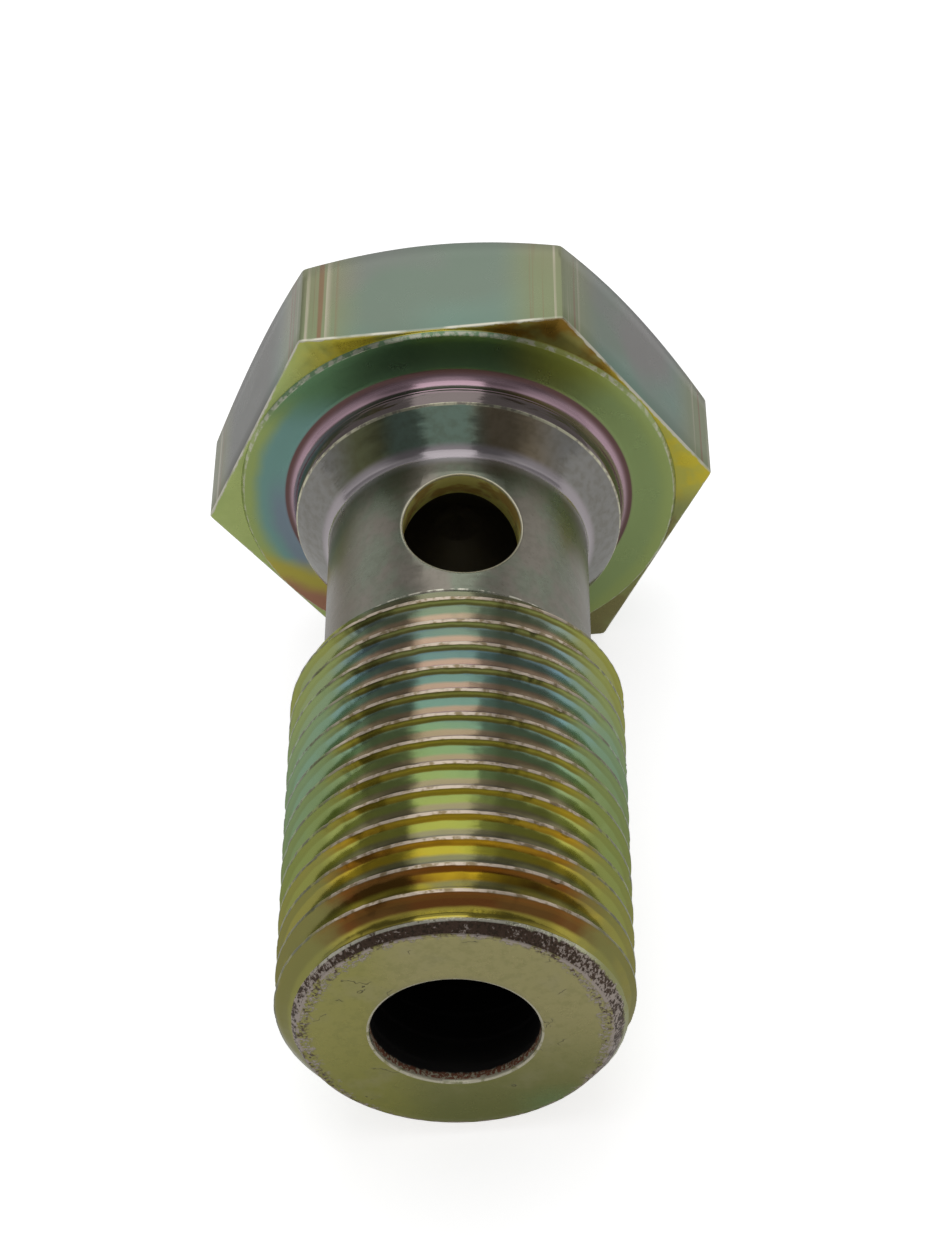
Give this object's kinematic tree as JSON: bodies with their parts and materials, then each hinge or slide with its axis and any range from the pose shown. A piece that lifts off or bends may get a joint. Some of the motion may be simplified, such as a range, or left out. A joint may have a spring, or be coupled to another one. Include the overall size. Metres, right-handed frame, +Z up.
{
  "type": "banjo bolt",
  "caption": "Hollow hexagon bolt with a collar, a waisted neck with an oblique cross hole, a fine thread and a blind axial bore, which carries a fluid into a banjo fitting.",
  "frame": {"origin": "on the floor below the middle of the bolt's box, with the bolt lying on its side as it comes to rest", "axes": "+Z up, -Y along the bolt towards its thread end, +X to the right seen from the thread end"},
  "size_m": [0.0256, 0.0416, 0.0227],
  "materials": {
    "zinc_plated_steel": "yellow passivated zinc, satin, with interference tints"
  },
  "bodies": {
    "root": {"banjo_bolt": "zinc_plated_steel"}
  },
  "joints": []
}
